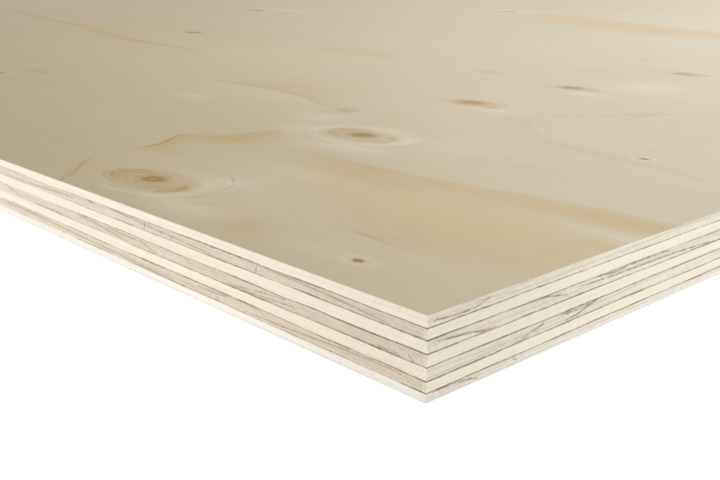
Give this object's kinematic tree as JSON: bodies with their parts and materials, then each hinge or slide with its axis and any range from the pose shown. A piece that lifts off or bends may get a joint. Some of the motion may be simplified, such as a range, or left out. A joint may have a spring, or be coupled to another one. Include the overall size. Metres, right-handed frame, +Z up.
{
  "type": "plywood sheet",
  "caption": "Flat rectangular plywood sheet of cross-laminated softwood veneers, with sanded knotty faces and square sawn edges, for sheathing, flooring and joinery.",
  "frame": {"origin": "centre of the underside, where the sheet rests", "axes": "+X along the length and the grain of the face, +Y across the width, +Z up out of the face"},
  "size_m": [2.44, 1.22, 0.018],
  "materials": {
    "face_veneer": "sanded, knotty, grain along +X",
    "back_veneer": "sanded, knotty, grain along +X",
    "crossband": "sawn edges, grain along +Y",
    "longband": "sawn edges, grain along +X"
  },
  "bodies": {
    "root": {"face_veneer": "face_veneer", "back_veneer": "back_veneer", "crossband_1": "crossband", "crossband_2": "crossband", "crossband_3": "crossband", "longband_1": "longband", "longband_2": "longband"}
  },
  "joints": []
}
